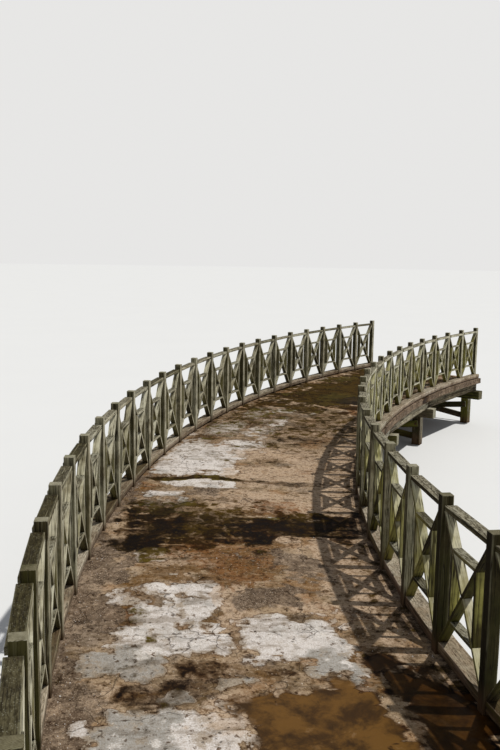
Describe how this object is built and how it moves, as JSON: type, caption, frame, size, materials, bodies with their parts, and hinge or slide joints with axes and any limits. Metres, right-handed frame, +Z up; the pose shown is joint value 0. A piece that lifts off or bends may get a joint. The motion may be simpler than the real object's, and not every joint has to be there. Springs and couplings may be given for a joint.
{
  "type": "curved footbridge",
  "caption": "Curved footbridge with a worn stone slab deck on low timber bents and a weathered railing of crossed boards along each edge.",
  "frame": {"origin": "foot of the middle pile of the middle bent, under the centre line of the path halfway along the bridge", "axes": "+X along the chord of the curve, +Y towards the outer, convex side, +Z up"},
  "size_m": [19.8392, 5.2307, 2.3],
  "materials": {
    "deck_stone": "worn, pale, with brown silt and damp hollows",
    "lattice_timber": "weathered bare timber with green algae",
    "post_timber": "weathered bare timber with open grain and green algae",
    "rail_timber": "greyed bare timber with lichen",
    "sill_timber": "greyed brown timber, silted",
    "support_timber": "damp, dark, rough sawn timber"
  },
  "bodies": {
    "root": {"deck_slab_1": "deck_stone", "deck_slab_2": "deck_stone", "deck_slab_3": "deck_stone", "deck_slab_4": "deck_stone", "deck_slab_5": "deck_stone", "deck_slab_6": "deck_stone", "outer_lattice_1": "lattice_timber", "outer_lattice_2": "lattice_timber", "outer_lattice_3": "lattice_timber", "outer_lattice_4": "lattice_timber", "outer_lattice_5": "lattice_timber", "outer_lattice_6": "lattice_timber", "inner_lattice_1": "lattice_timber", "inner_lattice_2": "lattice_timber", "inner_lattice_3": "lattice_timber", "inner_lattice_4": "lattice_timber", "inner_lattice_5": "lattice_timber", "inner_lattice_6": "lattice_timber", "inner_lattice_7": "lattice_timber", "outer_posts": "post_timber", "inner_posts": "post_timber", "outer_top_rails": "rail_timber", "inner_top_rails": "rail_timber", "outer_sills": "sill_timber", "inner_sills": "sill_timber", "outer_packers": "sill_timber", "inner_packers": "sill_timber", "bearers": "support_timber", "cross_braces": "support_timber", "cap_beam_1": "support_timber", "cap_beam_2": "support_timber", "cap_beam_3": "support_timber", "cap_beam_4": "support_timber", "cap_beam_5": "support_timber", "cap_beam_6": "support_timber", "cap_beam_7": "support_timber", "piles_1": "support_timber", "piles_2": "support_timber", "piles_3": "support_timber", "piles_4": "support_timber", "piles_5": "support_timber", "piles_6": "support_timber", "piles_7": "support_timber"}
  },
  "joints": []
}
